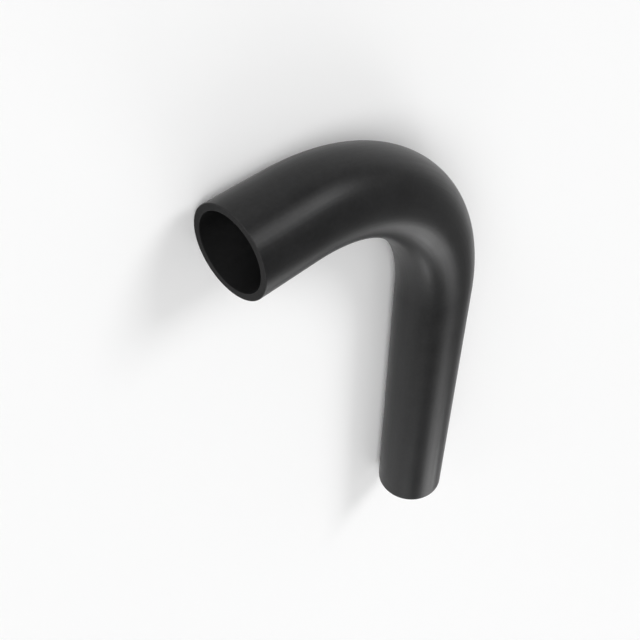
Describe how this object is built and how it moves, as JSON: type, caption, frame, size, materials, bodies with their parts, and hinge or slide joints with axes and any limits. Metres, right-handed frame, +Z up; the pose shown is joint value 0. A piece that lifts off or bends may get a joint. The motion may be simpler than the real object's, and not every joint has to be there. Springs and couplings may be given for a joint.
{
  "type": "radiator hose",
  "caption": "Moulded right-angle rubber coolant hose with a short and a long straight leg, open at each end.",
  "frame": {"origin": "under the middle of the hose's bounding box, on the surface it lies on", "axes": "+Z up, square to the plane of the bend; the long leg runs along X and opens towards +X; the short leg runs along Y and opens towards -Y"},
  "size_m": [0.3244, 0.168, 0.0449],
  "materials": {
    "rubber": "satin black cured rubber, smooth and plain"
  },
  "bodies": {
    "root": {"hose": "rubber"}
  },
  "joints": []
}
